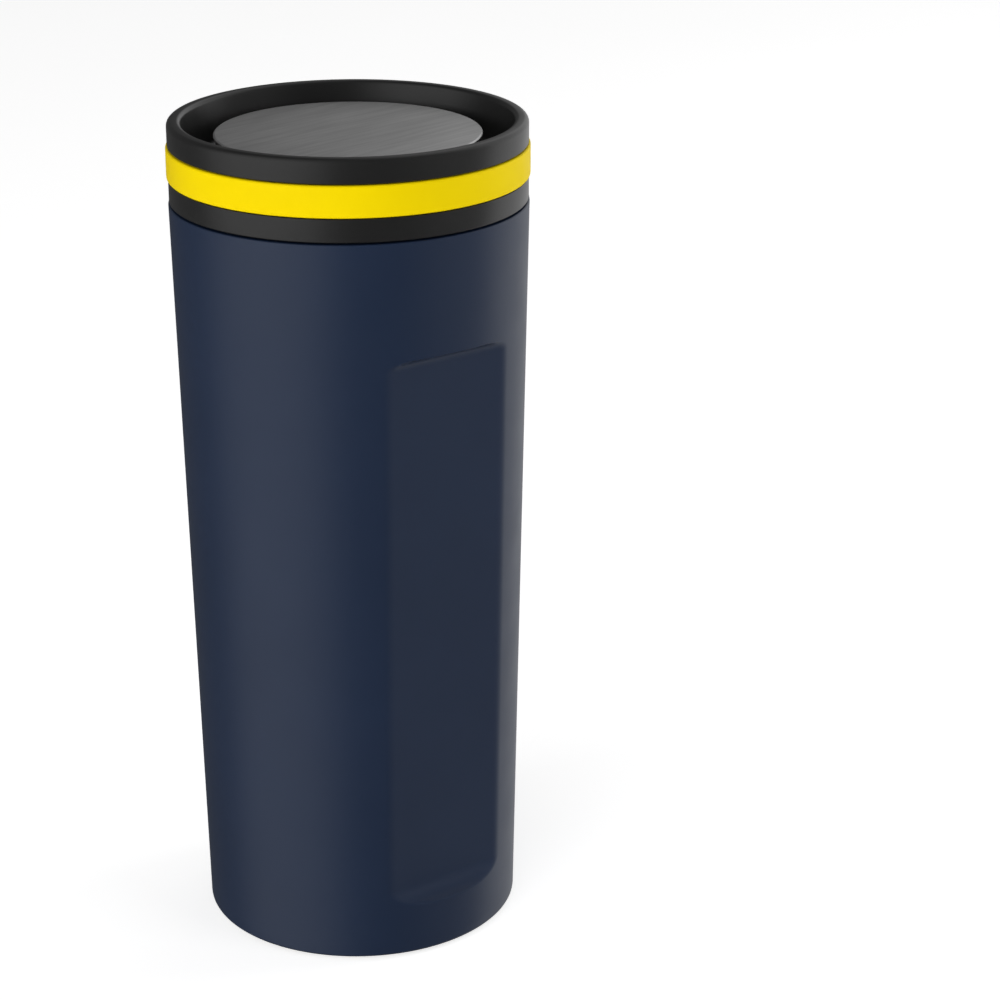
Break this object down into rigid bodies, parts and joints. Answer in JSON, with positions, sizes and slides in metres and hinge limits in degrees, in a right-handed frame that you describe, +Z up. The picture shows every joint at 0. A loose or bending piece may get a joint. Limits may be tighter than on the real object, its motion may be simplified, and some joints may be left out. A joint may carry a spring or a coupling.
{
  "type": "insulated travel tumbler",
  "caption": "Tapered insulated drinking tumbler with grip flats, non-slip foot and a screw-on lid whose push button opens a ring valve all round the rim.",
  "frame": {"origin": "centre of the foot ring's resting face, on the axis of the tumbler", "axes": "+Z up along the tumbler's axis, -Y and +Y out through the two grip flats"},
  "size_m": [0.085, 0.085, 0.2012],
  "materials": {
    "navy_soft_touch": "soft-touch matte paint with a silky sheen",
    "yellow_rubber": "satin moulded thermoplastic rubber",
    "black_plastic": "satin moulded plastic",
    "grey_plastic": "plain moulded acetal",
    "black_rubber": "matte moulded rubber",
    "clear_silicone": "translucent food-grade silicone",
    "vessel_steel": "satin turned stainless steel",
    "brushed_plate": "straight-brushed stainless steel with a bright chamfer",
    "spring_steel": "drawn stainless wire"
  },
  "bodies": {
    "tumbler_body": {"outer_shell": "navy_soft_touch", "foot_ring": "yellow_rubber", "base_disc": "yellow_rubber", "base_plate": "black_plastic", "base_seal": "black_rubber", "vessel_pad": "black_rubber", "inner_vessel": "vessel_steel", "vessel_seal": "clear_silicone", "neck_collar": "black_plastic"},
    "lid_lift": {"lid_gasket": "clear_silicone"},
    "lid": {"lid_body": "black_plastic", "lid_band": "yellow_rubber", "guide_cage": "grey_plastic", "bumper_ring": "black_rubber", "shaft_seal": "black_rubber", "spring_cap": "grey_plastic", "return_spring": "spring_steel"},
    "button": {"button_plate": "brushed_plate", "button_carrier": "black_plastic", "valve_seal": "black_rubber", "plunger_shaft": "grey_plastic", "carrier_screw": "spring_steel", "thrust_washer": "spring_steel"},
    "cam": {"cam_ring": "grey_plastic"}
  },
  "joints": [
    {"name": "lid_rise", "type": "slide", "parent": "tumbler_body", "child": "lid_lift", "axis": [0, 0, 1], "range_m": [0, 0.0361]},
    {"name": "lid_turn", "type": "hinge", "parent": "lid_lift", "child": "lid", "pos_m": [0, 0, 0.18185], "axis": [0, 0, 1], "range_deg": [0, 720]},
    {"name": "button_press", "type": "slide", "parent": "lid", "child": "button", "axis": [0, 0, 1], "range_m": [-0.005, 0], "stiffness_N_per_m": 700, "springref_m": 0.004, "deforming": ["return_spring"]},
    {"name": "cam_turn", "type": "hinge", "parent": "button", "child": "cam", "pos_m": [0, 0, 0.17115], "axis": [0, 0, 1], "range_deg": [-40.5, 0]}
  ],
  "couplings": [
    {"joint": "lid_rise", "follows": "lid_turn", "m_per_rad": 0.0028648},
    {"joint": "cam_turn", "follows": "button_press", "rad_per_m": 139.63}
  ]
}
